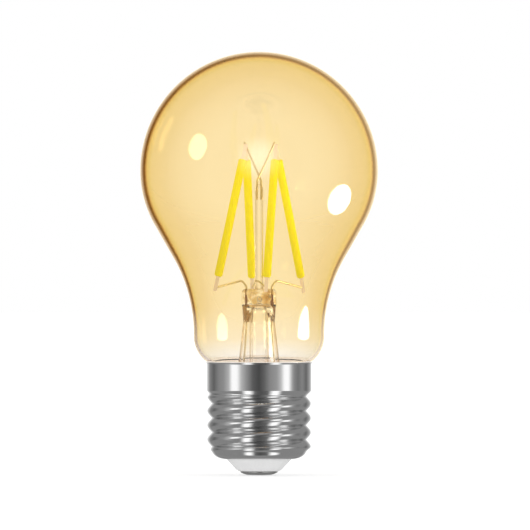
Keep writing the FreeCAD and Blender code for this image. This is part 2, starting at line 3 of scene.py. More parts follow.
import bmesh
import bpy
from mathutils import Matrix, Vector


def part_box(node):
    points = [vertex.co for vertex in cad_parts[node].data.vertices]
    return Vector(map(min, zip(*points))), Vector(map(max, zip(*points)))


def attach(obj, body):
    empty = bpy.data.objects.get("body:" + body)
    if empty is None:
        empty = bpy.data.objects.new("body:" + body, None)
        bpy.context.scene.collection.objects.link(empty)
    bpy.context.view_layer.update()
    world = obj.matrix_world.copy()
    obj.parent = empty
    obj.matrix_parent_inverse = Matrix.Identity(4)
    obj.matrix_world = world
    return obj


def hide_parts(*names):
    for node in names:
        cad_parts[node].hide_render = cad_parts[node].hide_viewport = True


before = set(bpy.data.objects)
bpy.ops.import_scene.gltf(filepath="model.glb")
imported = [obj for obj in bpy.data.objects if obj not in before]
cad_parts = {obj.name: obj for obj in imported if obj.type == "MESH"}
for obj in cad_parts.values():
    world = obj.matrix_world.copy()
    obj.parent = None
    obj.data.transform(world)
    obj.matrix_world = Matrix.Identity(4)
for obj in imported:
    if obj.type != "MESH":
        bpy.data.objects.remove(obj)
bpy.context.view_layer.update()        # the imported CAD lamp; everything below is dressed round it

mm = 0.001


def srgb(hexColour):
    # "f5e14b" to linear red, green, blue, alpha
    channels = []
    for place in (0, 2, 4):
        value = int(hexColour[place:place + 2], 16) / 255
        channels.append(value / 12.92 if value <= 0.04045 else ((value + 0.055) / 1.055) ** 2.4)
    return (*channels, 1.0)


def addNode(tree, kind, settings):
    # a setting is a property of the node, or an input by name or number. A socket is linked, a node
    # stands for its first output, and a hex colour is turned to linear
    node = tree.nodes.new(kind)
    for name, value in settings.items():
        if isinstance(name, str) and hasattr(node, name):
            setattr(node, name, value)
    for name, value in settings.items():
        if isinstance(name, str) and hasattr(node, name):
            continue
        if isinstance(value, bpy.types.Node):
            value = value.outputs[0]
        if isinstance(value, bpy.types.NodeSocket):
            tree.links.new(value, node.inputs[name])
        else:
            node.inputs[name].default_value = srgb(value) if isinstance(value, str) else value
    return node


def tone(value):
    # a hex colour, or a grey given as its brightness
    return srgb(value) if isinstance(value, str) else (value, value, value, 1.0)


def setRamp(node, stops):
    # stops: list of (position, hex colour or brightness)
    ramp = node.color_ramp
    while len(ramp.elements) > 1:
        ramp.elements.remove(ramp.elements[-1])
    ramp.elements[0].position, ramp.elements[0].color = stops[0][0], tone(stops[0][1])
    for position, value in stops[1:]:
        ramp.elements.new(position).color = tone(value)
    return node


def newMaterial(name):
    material = bpy.data.materials.new(name)
    material.use_nodes = True
    tree = material.node_tree
    tree.nodes.clear()
    return material, tree, tree.nodes.new("ShaderNodeTexCoord").outputs


def finishPiece(piece, material, slotName, *replaced):
    if material is not None:
        piece.data.materials.clear()
        piece.data.materials.append(material)
    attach(piece, "root")
    if replaced:
        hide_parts(*replaced)
    return piece


def meshPiece(name, points, faces, smooth=True):
    mesh = bpy.data.meshes.new(name)
    mesh.from_pydata(points, [], faces)
    work = bmesh.new()
    work.from_mesh(mesh)
    bmesh.ops.recalc_face_normals(work, faces=work.faces)
    work.to_mesh(mesh)
    work.free()
    mesh.polygons.foreach_set("use_smooth", [smooth] * len(mesh.polygons))
    mesh.set_sharp_from_angle(angle=math.radians(38))
    piece = bpy.data.objects.new(name, mesh)
    bpy.context.scene.collection.objects.link(piece)
    return piece


def between(start, end, part):
    return start + (end - start) * part


def easeInOut(part):
    return part * part * (3 - 2 * part)


def parts(steps, first=1):
    # even fractions of the way, up to the whole
    return [step / steps for step in range(first, steps + 1)]


def arcPoints(centre, radius, start, stop, steps):
    # points on an arc in the (across, up) plane, degrees from the across axis
    points = []
    for part in parts(steps, 0):
        angle = math.radians(between(start, stop, part))
        points.append((centre[0] + radius * math.cos(angle), centre[1] + radius * math.sin(angle)))
    return points


def roundRings(profile):
    return [(across, across, up) for across, up in profile]


def loftRings(name, rings, segments, closed=False, transform=None):
    # rings: (half width, half depth, height) in mm from one pole or end to the other; a ring of no
    # width is a pole. closed joins the last ring to the first, as on a tube's wall.
    points, rows, faces = [], [], []
    for halfWidth, halfDepth, height in rings:
        if halfWidth < 1e-6:
            rows.append([len(points)] * segments)
            points.append(Vector((0, 0, height)) * mm)
            continue
        rows.append(list(range(len(points), len(points) + segments)))
        for segment in range(segments):
            angle = 2 * math.pi * segment / segments
            across, deep = halfWidth * math.cos(angle), halfDepth * math.sin(angle)
            points.append(Vector((across, deep, height)) * mm)
    pairs = list(zip(rows, rows[1:]))
    if closed:
        pairs.append((rows[-1], rows[0]))
    for lower, upper in pairs:
        for segment in range(segments):
            after = (segment + 1) % segments
            corners = [lower[segment], lower[after], upper[after], upper[segment]]
            kept = [corner for place, corner in enumerate(corners) if corner != corners[place - 1]]
            if len(kept) > 2:
                faces.append(kept)
    if transform is not None:
        points = [transform @ point for point in points]
    return meshPiece(name, points, faces)


def markSkin(piece, first, last):
    # V of the UV map is 1 on the points from first to last, the skin that meets open air, 0 elsewhere
    skins = piece.data.uv_layers.new(name="skins")
    for loop in piece.data.loops:
        skins.data[loop.index].uv = (0.5, 1.0 if first <= loop.vertex_index <= last else 0.0)
    return piece


def turned(name, profile, segments, closed=False, transform=None):
    return loftRings(name, roundRings(profile), segments, closed, transform)


envelopeShape = {
    "wall": 0.75, "lowerGlobeRadius": 27.5, "slope": 30.5, "waistRadius": 16.45, "waistHeight": 35.5,
    "waistSweep": 38.8, "shoulderRadius": 8.0, "shoulderCentre": 35.0, "neckRadius": 12.0,
    "shoulderSteps": 20, "waistSteps": 26, "lowerSteps": 16, "globeSteps": 52, "segments": 224,
}
low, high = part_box("glass_envelope")
envelopeShape["globeRadius"] = (high.x - low.x) / 2 / mm
envelopeShape["globeCentre"] = high.z / mm - envelopeShape["globeRadius"]
envelopeShape["sealHeight"] = low.z / mm


def envelopeOutline(shape, inset):
    # one skin of the glass from the seal up to the crown, moved in by inset
    slope = shape["slope"]
    globe = shape["globeRadius"] - inset
    lower = shape["lowerGlobeRadius"] - inset
    lowerCentre = (shape["globeRadius"] - shape["lowerGlobeRadius"], shape["globeCentre"])
    waistCentre = (shape["waistRadius"] + shape["waistSweep"], shape["waistHeight"])
    shoulder = shape["shoulderRadius"] - inset
    shoulderCentre = (shape["waistRadius"] - shape["shoulderRadius"], shape["shoulderCentre"])
    neck = shape["neckRadius"] - inset
    shoulderStart = -math.degrees(math.acos((neck - shoulderCentre[0]) / shoulder))
    outline = [(neck, shape["sealHeight"])]
    outline += arcPoints(shoulderCentre, shoulder, shoulderStart, 0, shape["shoulderSteps"])
    outline += arcPoints(waistCentre, shape["waistSweep"] + inset, 180, 180 - slope, shape["waistSteps"])
    outline += arcPoints(lowerCentre, lower, -slope, 0, shape["lowerSteps"])
    outline += arcPoints((0, shape["globeCentre"]), globe, 0, 90, shape["globeSteps"])[1:]
    outline[-1] = (0, outline[-1][1])
    return outline


def buildEnvelope(shape):
    outside = envelopeOutline(shape, 0)
    inside = envelopeOutline(shape, shape["wall"])
    rings = outside + inside[::-1]
    piece = turned("amberGlobe", rings, shape["segments"], closed=True)
    return markSkin(piece, 0, (len(outside) - 1) * shape["segments"])


stemShape = {
    "rimRadius": 12.0, "rimBottom": 21.6, "rimTop": 22.6, "flareCurve": 3.6, "flareRadius": 5.4,
    "flareRim": 1.0, "wall": 0.45, "cavityRadius": 3.55, "cavityTop": 38.6, "funnelTop": 41.6,
    # half width, half depth and height of the section
    "shoulder": (4.2, 3.4, 42.2), "press": (4.35, 1.75, 43.2), "pressTop": 47.1, "crown": 1.1,
    "closing": (0.6, 0.25, 0), "funnelFoot": 2.42, "boreRadius": 1.7, "boreStart": 0.06,
    "boreLip": (0.05, 0.01), "boreSweep": 80, "riser": [(0.6, 0.1), (0.48, 0.6)], "bubbleRadius": 0.8,
    "bubbleHeight": 44.4, "flareSteps": 14, "coneSteps": 12, "funnelSteps": 8, "shoulderSteps": 9,
    "pressSteps": 10, "crownSteps": 9, "bubbleSteps": 14, "segments": 128,
    # the jaws' mark: its greatest depth is about three times this, and it fades over pinchFade
    "pinchDepth": 0.19, "pinchFade": 0.9, "pinchTop": 46.6, "pinchClear": 0.95,
}


def stemOutside(shape):
    # the flare's skin as (half width, half depth, height), from the seal up over the press
    flareTop = shape["rimTop"] + shape["flareCurve"]
    curveCentre = (shape["flareRadius"] + shape["flareCurve"], flareTop)
    rings = [(shape["rimRadius"], shape["rimRadius"], shape["rimTop"])]
    rings += roundRings(arcPoints(curveCentre, shape["flareCurve"], 270, 180, shape["flareSteps"]))
    coneTop = shape["cavityRadius"] + shape["wall"]
    for part in parts(shape["coneSteps"]):
        radius = between(shape["flareRadius"], coneTop, part)
        rings.append((radius, radius, between(flareTop, shape["cavityTop"], part)))
    section = (coneTop, coneTop, shape["cavityTop"])
    for name in ("shoulder", "press"):
        before, section = section, shape[name]
        for part in parts(shape[name + "Steps"]):
            ease = easeInOut(part)
            rings.append((between(before[0], section[0], ease), between(before[1], section[1], ease),
                          between(before[2], section[2], part)))
    crown = shape["crown"]
    crownFoot = shape["pressTop"] - crown
    halfWidth, halfDepth = section[0] - crown, section[1] - crown
    for part in parts(shape["coneSteps"]):
        rings.append((section[0], section[1], between(section[2], crownFoot, part)))
    for across, up in arcPoints((0, 0), crown, 0, 90, shape["crownSteps"])[1:]:
        rings.append((halfWidth + across, halfDepth + across, crownFoot + up))
    for part in shape["closing"]:
        rings.append((halfWidth * part, halfDepth * part, shape["pressTop"]))
    return rings


def stemInside(shape):
    # the hollow: flare, bore that carries on from the exhaust tube, and the blown outlet above it
    flareTop = shape["rimTop"] + shape["flareCurve"]
    curveCentre = (shape["flareRadius"] + shape["flareCurve"], flareTop)
    cavity, bore, rim = shape["cavityRadius"], shape["boreRadius"], shape["flareRim"]
    start = shape["flareRadius"] - rim
    outlet = [(shape["rimRadius"], shape["rimBottom"])]
    outlet += arcPoints(curveCentre, shape["flareCurve"] + rim, 270, 180, shape["flareSteps"])
    for part in parts(shape["coneSteps"]):
        outlet.append((between(start, cavity, part), between(flareTop, shape["cavityTop"], part)))
    for part in parts(shape["funnelSteps"]):
        outlet.append((between(cavity, shape["funnelFoot"], easeInOut(part)),
                       between(shape["cavityTop"], shape["funnelTop"], part)))
    boreStart = shape["funnelTop"] + shape["boreStart"]
    lipAcross, lipUp = shape["boreLip"]
    outlet += [(bore + lipAcross, shape["funnelTop"] + lipUp), (bore, boreStart)]
    curl = shape["shoulder"][2] - boreStart
    outlet += arcPoints((bore - curl, boreStart), curl, 0, shape["boreSweep"], shape["funnelSteps"])[1:]
    outlet += [(across, shape["shoulder"][2] + up) for across, up in shape["riser"]]
    bubbleCentre = (0, shape["bubbleHeight"])
    bubble = arcPoints(bubbleCentre, shape["bubbleRadius"], -55, 90, shape["bubbleSteps"])
    outlet += bubble[:-1] + [(0, bubble[-1][1])]
    return roundRings(outlet)


def pinchPress(piece, shape):
    # the jaws leave the hot glass uneven: low waves across both faces of the press
    foot, top = shape["shoulder"][2], shape["pinchTop"]
    for vert in piece.data.vertices:
        place = vert.co / mm
        onFace = abs(place.y) >= shape["pinchClear"] and abs(place.x) >= 0.0001
        if not (onFace and foot < place.z < top):
            continue
        fade = min(1.0, (place.z - foot) / shape["pinchFade"], (top - place.z) / shape["pinchFade"])
        side = 1 if place.y > 0 else -1
        # two waves a few millimetres long, their turns in radians per mm
        wave = math.sin(1.7 * place.x + 1.3 * place.z + side)
        wave += 0.7 * math.sin(2.9 * place.x * side - 2.1 * place.z)
        vert.co.y -= side * fade * shape["pinchDepth"] * (1.7 + wave) * mm


def buildStem(shape):
    inside = stemInside(shape)
    piece = loftRings("stemGlass", inside[::-1] + stemOutside(shape), shape["segments"])
    pinchPress(piece, shape)
    return markSkin(piece, (len(inside) - 1) * shape["segments"] + 1, len(piece.data.vertices))


# the seam is a hair of air between two glass pieces that touch
tubeShape = {"radius": 2.4, "wall": 0.7, "seam": 0.02, "endSteps": 12, "segments": 72}


def buildExhaustTube(shape):
    bottom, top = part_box("exhaust_tube")[0].z / mm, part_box("exhaust_tube")[1].z / mm
    outer, inner = shape["radius"], shape["radius"] - shape["wall"]
    skins = []
    for radius in (outer, inner):
        skin = arcPoints((0, bottom + outer), radius, -90, 0, shape["endSteps"])
        skin[0] = (0, skin[0][1])
        skins.append(skin + [(radius, top - shape["seam"])])
    piece = turned("exhaustTube", skins[0] + skins[1][::-1], shape["segments"])
    return markSkin(piece, 0, (len(skins[0]) - 1) * shape["segments"])


rodShape = {"radius": 1.05, "shoulder": 1.9, "tipRadius": 0.8, "tipRound": 0.5, "seam": 0.02,
            "shankSteps": 12, "shoulderSteps": 8, "tipSteps": 6, "segments": 56}


def buildSupportRod(shape):
    low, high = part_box("support_rod")
    bottom, top = low.z / mm + shape["seam"], high.z / mm
    shoulder, tipRound = top - shape["shoulder"], shape["tipRound"]
    profile = [(0, bottom), (shape["radius"], bottom)]
    for part in parts(shape["shankSteps"], 0):
        profile.append((shape["radius"], between(bottom, shoulder, part)))
    for part in parts(shape["shoulderSteps"]):
        across = between(shape["radius"], shape["tipRadius"], part * part)
        profile.append((across, between(shoulder, top - tipRound, part)))
    tipCentre = (shape["tipRadius"] - tipRound, top - tipRound)
    profile += arcPoints(tipCentre, tipRound, 0, 90, shape["tipSteps"])[1:]
    profile.append((0, top))
    piece = turned("supportRod", profile, shape["segments"])
    return markSkin(piece, 0, len(piece.data.vertices))


wireShape = {"radius": 0.25, "bend": 0.9, "wideBend": 2.0, "sides": 16, "bendSteps": 10}


def newTree(name, inputs, result):
    # a Geometry Nodes tree with its inputs named
    tree = bpy.data.node_groups.new(name, "GeometryNodeTree")
    for label, kind in inputs:
        tree.interface.new_socket(label, in_out="INPUT", socket_type="NodeSocket" + kind)
    tree.interface.new_socket(result, in_out="OUTPUT", socket_type="NodeSocketGeometry")
    return tree, tree.nodes.new("NodeGroupInput").outputs


def finishTree(tree, geometry, finish):
    real = addNode(tree, "GeometryNodeRealizeInstances", {"Geometry": geometry})
    finished = addNode(tree, "GeometryNodeSetMaterial", {"Geometry": real, "Material": finish})
    addNode(tree, "NodeGroupOutput", {0: finished})
    return tree


def wireTree():
    # a round wire along a line of straight runs, with every corner bent to a radius
    tree, given = newTree("wireAlongPath", [
        ("Path", "Geometry"), ("Wire Radius", "Float"), ("Bend Radius", "Float"), ("Sides", "Int"),
        ("Bend Steps", "Int"), ("Finish", "Material")], "Wire")
    curve = addNode(tree, "GeometryNodeMeshToCurve", {"Mesh": given["Path"]})
    bent = addNode(tree, "GeometryNodeFilletCurve", {
        "mode": "POLY", "Curve": curve, "Radius": given["Bend Radius"],
        "Count": given["Bend Steps"], "Limit Radius": True})
    section = addNode(tree, "GeometryNodeCurvePrimitiveCircle", {
        "Resolution": given["Sides"], "Radius": given["Wire Radius"]})
    solid = addNode(tree, "GeometryNodeCurveToMesh", {
        "Curve": bent, "Profile Curve": section, "Fill Caps": True})
    smooth = addNode(tree, "GeometryNodeSetShadeSmooth", {"Geometry": solid})
    return finishTree(tree, smooth, given["Finish"])


def runTree(piece, tree, values):
    # give a piece a Geometry Nodes tree, then keep only the plain mesh that it makes
    modifier = piece.modifiers.new(tree.name, "NODES")
    modifier.node_group = tree
    for item in tree.interface.items_tree:
        if item.in_out == "INPUT" and item.name in values:
            modifier[item.identifier] = values[item.name]
    graph = bpy.context.evaluated_depsgraph_get()
    graph.update()
    mesh = bpy.data.meshes.new_from_object(piece.evaluated_get(graph))
    piece.modifiers.remove(modifier)
    piece.data = mesh
    return piece


def wirePiece(name, tree, shape, route, material, bend):
    mesh = bpy.data.meshes.new(name)
    corners = [Vector(point) * mm for point in route]
    mesh.from_pydata(corners, [(place, place + 1) for place in range(len(corners) - 1)], [])
    piece = bpy.data.objects.new(name, mesh)
    bpy.context.scene.collection.objects.link(piece)
    return runTree(piece, tree, {
        "Wire Radius": shape["radius"] * mm, "Bend Radius": bend * mm,
        "Sides": shape["sides"], "Bend Steps": shape["bendSteps"], "Finish": material})


filamentShape = {
    "upperWelds": [(-3.3, -0.2, 83.5), (-3.3, 0.62, 83.5), (4.25, -0.2, 83.5), (4.1, 0.62, 83.5)],
    "lowerWelds": [(-10.95, -7.6, 46.8), (-1.7, 9.6, 46.9), (1.7, -9.6, 46.5), (11.4, 6.2, 46.2)],
    "coatRadius": 1.03, "coatLength": 30.6, "upperTab": 4.1, "lowerTab": 3.8,
    "upperRound": 0.35, "lowerRound": 0.75, "lowerSteps": 9, "bodySteps": 30, "upperSteps": 7,
    "segments": 40, "tabWidth": 0.9, "tabDepth": 0.2, "tabSeat": 0.3, "tabEdge": 0.06,
}


def filamentFrame(shape, number, distance):
    # matrix that stands a piece built along +Z, in metres, on a filament's axis
    top = Vector(shape["upperWelds"][number])
    foot = Vector(shape["lowerWelds"][number])
    axis = (top - foot).normalized()
    turn = Vector((0, 0, 1)).rotation_difference(axis).to_matrix().to_4x4()
    return Matrix.Translation((top - axis * distance) * mm) @ turn


def buildCoat(shape, number):
    # a bead of silicone: well rounded where it was started, nearly square where it was cut off
    radius, length = shape["coatRadius"], shape["coatLength"]
    low, top = shape["lowerRound"], shape["upperRound"]
    profile = [(0, 0)] + arcPoints((radius - low, low), low, -90, 0, shape["lowerSteps"])
    for part in parts(shape["bodySteps"])[:-1]:
        profile.append((radius, between(low, length - top, part)))
    profile += arcPoints((radius - top, length - top), top, 0, 90, shape["upperSteps"])
    profile.append((0, length))
    place = filamentFrame(shape, number, shape["upperTab"] + length)
    return turned("siliconeCoat%d" % (number + 1), profile, shape["segments"], transform=place)


def buildTab(shape, number, upper):
    # pressed steel tab: a thin strip with rounded edges
    length = shape["upperTab"] if upper else shape["lowerTab"]
    distance = length if upper else shape["upperTab"] + shape["coatLength"] + length
    half, depth = shape["tabWidth"] / 2, shape["tabDepth"]
    back = -shape["tabSeat"]
    work = bmesh.new()
    outline = [(-half, 0), (half, 0), (half, length), (-half, length)]
    front = [work.verts.new(Vector((across, back, up)) * mm) for across, up in outline]
    face = work.faces.new(front)
    grown = bmesh.ops.extrude_face_region(work, geom=[face])
    bmesh.ops.translate(work, vec=Vector((0, depth, 0)) * mm,
                        verts=[item for item in grown["geom"] if isinstance(item, bmesh.types.BMVert)])
    bmesh.ops.bevel(work, geom=list(work.edges), offset=shape["tabEdge"] * mm, segments=2, affect="EDGES")
    bmesh.ops.recalc_face_normals(work, faces=work.faces)
    # the bevel's own order changes from run to run, so points and faces are put in one order
    points = sorted(tuple(vert.co) for vert in work.verts)
    faces = []
    for face in work.faces:
        corners = [points.index(tuple(vert.co)) for vert in face.verts]
        first = corners.index(min(corners))
        faces.append(corners[first:] + corners[:first])
    work.free()
    mesh = bpy.data.meshes.new("tab")
    mesh.from_pydata(points, [], sorted(faces))
    mesh.transform(filamentFrame(shape, number, distance))
    piece = bpy.data.objects.new(("upperTab%d" if upper else "lowerTab%d") % (number + 1), mesh)
    bpy.context.scene.collection.objects.link(piece)
    return piece


capShape = {
    "collarRadius": 13.2, "collarBottom": 21.4, "collarBlend": 1.3, "capTop": 28.4, "lipRadius": 13.45,
    "lipHeight": 0.5, "wall": 0.3, "rootRadius": 11.95, "crestRadius": 13.1, "pitch": 3.629,
    "crestRoundness": 0.62, "firstCrest": 7.15, "runIn": 1.6, "threadBelow": 0.7, "threadAbove": 0.2,
    "footFlat": 8.55, "footHeight": 6.3, "bottom": 4.1, "holeRadius": 8.2, "holeCurl": 0.06,
    "curveSteps": 14, "plainSteps": 6, "segments": 240, "rows": 132,
}


def threadTree():
    # rolls a right-hand round thread into a turned shell: points move out by a wave that climbs one
    # pitch for each turn and dies away towards the collar and the foot
    sizes = ("Depth", "Pitch", "First Crest", "Run In", "Thread Bottom", "Thread Top", "Crest Roundness")
    inputs = [("Shell", "Geometry")] + [(size, "Float") for size in sizes] + [("Finish", "Material")]
    tree, given = newTree("rolledThread", inputs, "Threaded")
    place = tree.nodes.new("GeometryNodeInputPosition")
    axes = addNode(tree, "ShaderNodeSeparateXYZ", {0: place}).outputs
    angle = addNode(tree, "ShaderNodeMath", {"operation": "ARCTAN2", 0: axes["Y"], 1: axes["X"]})
    turn = addNode(tree, "ShaderNodeMath", {"operation": "DIVIDE", 0: angle, 1: 2 * math.pi})
    # height to turns of thread, to a wave from the root at 0 to the crest at 1, to a rise in metres
    rise = axes["Z"]
    for operation, by in (("SUBTRACT", given["First Crest"]), ("DIVIDE", given["Pitch"]),
                          ("SUBTRACT", turn), ("MULTIPLY", 2 * math.pi), ("COSINE", 0.0),
                          ("ADD", 1.0), ("MULTIPLY", 0.5), ("POWER", given["Crest Roundness"]),
                          ("MULTIPLY", given["Depth"])):
        rise = addNode(tree, "ShaderNodeMath", {"operation": operation, 0: rise, 1: by})
    for far, near in ((axes["Z"], given["Thread Bottom"]), (given["Thread Top"], axes["Z"])):
        inside = addNode(tree, "ShaderNodeMath", {"operation": "SUBTRACT", 0: far, 1: near})
        run = addNode(tree, "ShaderNodeMapRange", {
            "interpolation_type": "SMOOTHSTEP", "Value": inside, "From Min": 0.0,
            "From Max": given["Run In"]})
        rise = addNode(tree, "ShaderNodeMath", {"operation": "MULTIPLY", 0: rise, 1: run})
    flat = addNode(tree, "ShaderNodeCombineXYZ", {"X": axes["X"], "Y": axes["Y"]})
    outward = addNode(tree, "ShaderNodeVectorMath", {"operation": "NORMALIZE", 0: flat})
    step = addNode(tree, "ShaderNodeVectorMath", {"operation": "SCALE", 0: outward, "Scale": rise})
    moved = addNode(tree, "GeometryNodeSetPosition", {"Geometry": given["Shell"], "Offset": step})
    return finishTree(tree, moved, given["Finish"])


def shellOutline(shape):
    # outer skin of the cap from the hole in its foot up over the collar to the lip
    bottom, foot, root = shape["bottom"], shape["footHeight"], shape["rootRadius"]
    outline = [(shape["holeRadius"], bottom + shape["holeCurl"]), (shape["footFlat"], bottom)]
    for part in parts(shape["curveSteps"]):
        angle = math.radians(90 * part)
        outline.append((between(shape["footFlat"], root, math.sin(angle)),
                        between(bottom, foot, 1 - math.cos(angle))))
    threadTop = shape["collarBottom"] - shape["collarBlend"]
    for part in parts(shape["rows"]):
        outline.append((root, between(foot, threadTop, part)))
    for part in parts(shape["curveSteps"]):
        outline.append((between(root, shape["collarRadius"], easeInOut(part)),
                        between(threadTop, shape["collarBottom"], part)))
    lipStart = shape["capTop"] - shape["lipHeight"]
    for part in parts(shape["plainSteps"]):
        outline.append((shape["collarRadius"], between(shape["collarBottom"], lipStart, part)))
    for part in parts(shape["plainSteps"]):
        outline.append((between(shape["collarRadius"], shape["lipRadius"], part * part),
                        between(lipStart, shape["capTop"], part)))
    return outline


def buildShell(shape, tree, material):
    piece = turned("screwShell", shellOutline(shape), shape["segments"])
    piece.data.flip_normals()       # an open skin is taken for the wall of a hollow; face it outwards
    runTree(piece, tree, {
        "Depth": (shape["crestRadius"] - shape["rootRadius"]) * mm, "Pitch": shape["pitch"] * mm,
        "First Crest": shape["firstCrest"] * mm, "Run In": shape["runIn"] * mm,
        "Thread Bottom": (shape["footHeight"] - shape["threadBelow"]) * mm,
        "Thread Top": (shape["collarBottom"] - shape["threadAbove"]) * mm,
        "Crest Roundness": shape["crestRoundness"], "Finish": material})
    addWall(piece, shape["wall"] * mm)
    return piece


def addWall(piece, thickness):
    # second skin inside the first, and a strip that closes each open edge
    work = bmesh.new()
    work.from_mesh(piece.data)
    work.normal_update()
    outer = list(work.verts)
    edges = [edge for edge in work.edges if edge.is_boundary]
    inner = {}
    for vert in outer:
        inner[vert] = work.verts.new(vert.co - vert.normal * thickness)
    for face in list(work.faces):
        work.faces.new([inner[vert] for vert in reversed(face.verts)])
    for edge in edges:
        first, second = edge.link_loops[0].vert, edge.link_loops[0].link_loop_next.vert
        work.faces.new([second, first, inner[first], inner[second]])
    bmesh.ops.recalc_face_normals(work, faces=work.faces)
    work.to_mesh(piece.data)
    work.free()
    piece.data.polygons.foreach_set("use_smooth", [True] * len(piece.data.polygons))
    markSkin(piece, 0, len(outer) - 1)


insulatorShape = {
    "bore": 1.65, "seat": 1.0, "seatRadius": 4.78, "footRadius": 5.3, "footRound": 0.25,
    "footCurl": [(-0.07, 0.05), (0.05, 0.2)], "topRadius": 8.2, "coneTop": 4.1, "coneProud": 0.05,
    "bandTop": 4.42, "bandRadius": 8.18, "shelf": 8.4, "shelfRise": 0.02, "collar": 7.6, "height": 6.2,
    "coneSteps": 8, "segments": 128,
}


def buildInsulator(shape):
    # a flat seat for the contact, a rounded foot, the cone, a short band under the shell's foot, and
    # the collar inside the shell
    seat, foot, bore, proud = shape["seat"], shape["footRadius"], shape["bore"], shape["coneProud"]
    profile = [(bore, seat), (shape["seatRadius"], seat), (foot - shape["footRound"], seat)]
    profile += [(foot + across, seat + up) for across, up in shape["footCurl"]]
    for part in parts(shape["coneSteps"])[:-1]:
        profile.append((between(foot, shape["topRadius"], part) + proud,
                        between(seat, shape["coneTop"], part)))
    profile += [(shape["bandRadius"], shape["coneTop"] - proud), (shape["bandRadius"], shape["bandTop"]),
                (shape["shelf"], shape["bandTop"] + shape["shelfRise"]),
                (shape["collar"], shape["height"]), (bore, shape["height"])]
    return turned("capInsulator", profile, shape["segments"], closed=True)


contactShape = {
    "flat": 2.4, "radius": 4.74, "seat": 0.98, "edge": 0.15, "domeRise": 0.62, "domeBase": 0.02,
    "domeShort": 0.12, "stemRadius": 1.6, "stemTop": 5.4, "bore": 0.9, "boreFloor": 1.03,
    "domeSteps": 8, "edgeSteps": 6, "segments": 112,
}


def buildContact(shape):
    # a domed disc with a rounded edge, and the rivet stem that holds the live wire
    seat, edge, base = shape["seat"], shape["edge"], shape["domeBase"]
    profile = [(0, 0.0), (shape["flat"] * 0.5, 0.0), (shape["flat"], base)]
    for part in parts(shape["domeSteps"]):
        across = between(shape["flat"], shape["radius"] - shape["domeShort"], part)
        profile.append((across, base + shape["domeRise"] * part * part))
    profile += arcPoints((shape["radius"] - edge, seat - edge), edge, -60, 90, shape["edgeSteps"])
    profile += [(shape["stemRadius"], seat), (shape["stemRadius"], shape["stemTop"]),
                (shape["bore"], shape["stemTop"]), (shape["bore"], shape["boreFloor"]),
                (0, shape["boreFloor"])]
    return turned("centreContact", profile, shape["segments"])


amberLook = {
    "bend": 1.5, "clearBelow": 28.0, "fullAbove": 48.0, "lineFullAbove": 42.0, "lineAtCap": 0.35,
    # the stain, from the cap up
    "stain": [(0.0, "fcf8f7"), (0.12, "fbf7f0"), (0.32, "faf0da"), (0.75, "faedce"), (1.0, "faedcd")],
    # the same glass from face on to edge on
    "edge": [(0.1, "ffffff"), (0.4, "f1e5c4"), (0.57, "f6e6ad"), (0.612, "f6e290"), (0.657, "f7d776"),
             (0.679, "e5ba61"), (0.705, "a06f30"), (0.732, "381901"), (0.77, "381902"), (0.805, "613f27"),
             (0.885, "7c6f7c"), (1.0, "cbb899")],
}


def amberSodaLimeGlass(look):
    # blown soda-lime glass with an amber stain that is left off the neck: clear at the cap, honey
    # above it, and a brown line where the eye looks along the stained outer skin
    material, tree, places = newMaterial("amberSodaLimeGlass")
    height = addNode(tree, "ShaderNodeSeparateXYZ", {0: places["Object"]}).outputs["Z"]
    outerSkin = addNode(tree, "ShaderNodeSeparateXYZ", {0: places["UV"]}).outputs["Y"]
    part = addNode(tree, "ShaderNodeMapRange", {
        "Value": height, "From Min": look["clearBelow"] * mm, "From Max": look["fullAbove"] * mm})
    stain = setRamp(addNode(tree, "ShaderNodeValToRGB", {"Fac": part}), look["stain"])
    graze = addNode(tree, "ShaderNodeLayerWeight", {"Blend": 0.5}).outputs["Facing"]
    edge = setRamp(addNode(tree, "ShaderNodeValToRGB", {"Fac": graze}), look["edge"])
    stained = addNode(tree, "ShaderNodeMapRange", {
        "Value": height, "From Min": look["clearBelow"] * mm, "From Max": look["lineFullAbove"] * mm,
        "To Min": look["lineAtCap"], "To Max": 1.0})
    strength = addNode(tree, "ShaderNodeMath", {"operation": "MULTIPLY", 0: outerSkin, 1: stained})
    colour = addNode(tree, "ShaderNodeMix", {
        "data_type": "RGBA", "blend_type": "MULTIPLY", 0: strength, 6: stain, 7: edge}).outputs[2]
    shader = addNode(tree, "ShaderNodeBsdfPrincipled", {
        "Base Color": colour, "Roughness": 0.0, "IOR": look["bend"], "Transmission Weight": 1.0})
    addNode(tree, "ShaderNodeOutputMaterial", {0: shader})
    return material


pressLook = {
    "foot": 42.0, "fadeIn": 1.2, "top": 46.8, "fadeOut": 1.7, "patch": 2.6,
    # the brown blotches over the press are painted shade
    "paintedPressShade": [(0.46, "ffffff"), (0.54, "ddbf8b"), (0.63, "bc9550")],
}


